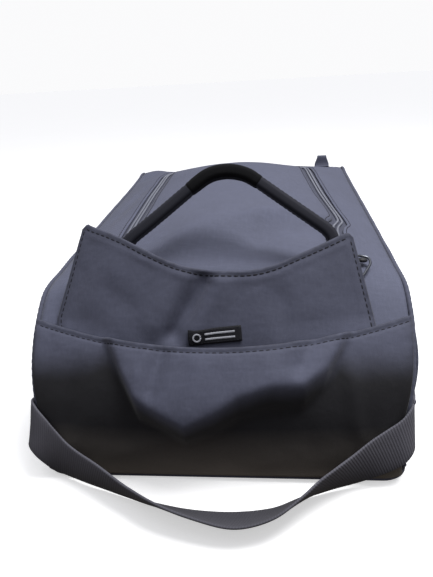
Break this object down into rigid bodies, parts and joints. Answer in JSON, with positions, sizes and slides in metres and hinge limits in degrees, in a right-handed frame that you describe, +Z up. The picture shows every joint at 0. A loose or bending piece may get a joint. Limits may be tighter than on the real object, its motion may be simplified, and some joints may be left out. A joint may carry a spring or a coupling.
{
  "type": "golf shoe bag",
  "caption": "Soft box-shaped golf shoe bag with a zipped domed top, padded carry handle, cover flap, front slip pocket and an end strap.",
  "frame": {"origin": "middle of everything on the ground plane: under the centre of the overall bounding box, at the base panel's underside", "axes": "+Z up, +Y towards the tall square far end, -Y towards the low end with the slip pocket, +X to the right of someone facing the pocket"},
  "size_m": [0.2358, 0.4314, 0.1728],
  "materials": {
    "cloth": "matt",
    "board": "matt",
    "webbing": "matt",
    "grip": "matt",
    "zip_tape": "matt",
    "metal": "polished",
    "label": "matt"
  },
  "bodies": {
    "shell": {"base_panel": "cloth", "front_end_panel": "cloth", "back_end_panel": "cloth", "side_panel_left": "cloth", "side_panel_right": "cloth", "top_surround": "cloth", "top_front_panel": "cloth", "front_pocket": "cloth", "pocket_hem": "cloth", "flap_base": "cloth", "base_board": "board", "piping_left": "webbing", "piping_right": "webbing", "handle_tab_left": "webbing", "handle_tab_right": "webbing", "strap_tab_left": "webbing", "strap_tab_right": "webbing", "hanging_loop": "webbing", "zip_half_outer": "zip_tape", "zip_half_front_left": "zip_tape", "zip_half_front_right": "zip_tape", "zip_stop_left": "metal", "zip_stop_right": "metal", "flap_label": "label"},
    "lid": {"lid_panel": "cloth", "zip_half_lid": "zip_tape"},
    "flap": {"cover_flap": "cloth"},
    "handle": {"carry_handle": "webbing", "handle_grip": "grip"},
    "slider": {"zip_slider": "metal", "slider_bridge": "metal"},
    "pull": {"zip_pull": "metal"},
    "strap": {"end_strap": "webbing"}
  },
  "joints": [
    {"name": "lid_fold", "type": "hinge", "parent": "shell", "child": "lid", "pos_m": [0, -0.0454, 0.1326], "axis": [1, 0, 0], "range_deg": [0, 100]},
    {"name": "flap_fold", "type": "hinge", "parent": "shell", "child": "flap", "pos_m": [0, -0.1449, 0.091], "axis": [1, 0, 0], "range_deg": [0, 100]},
    {"name": "handle_swing", "type": "hinge", "parent": "shell", "child": "handle", "pos_m": [0, -0.1124, 0.113], "axis": [1, 0, 0], "range_deg": [-36, 18]},
    {"name": "slider_run", "type": "slide", "parent": "shell", "child": "slider", "axis": [-0.0339, 0.9755, 0.2172], "range_m": [0, 0.05]},
    {"name": "pull_lift", "type": "hinge", "parent": "slider", "child": "pull", "pos_m": [0.0786, -0.1006, 0.1132], "axis": [-0.7425, -0.6538, -0.1456], "range_deg": [0, 150]},
    {"name": "strap_lift", "type": "hinge", "parent": "shell", "child": "strap", "pos_m": [0, -0.1614, 0.048], "axis": [-1, 0, 0], "range_deg": [0, 90]}
  ]
}
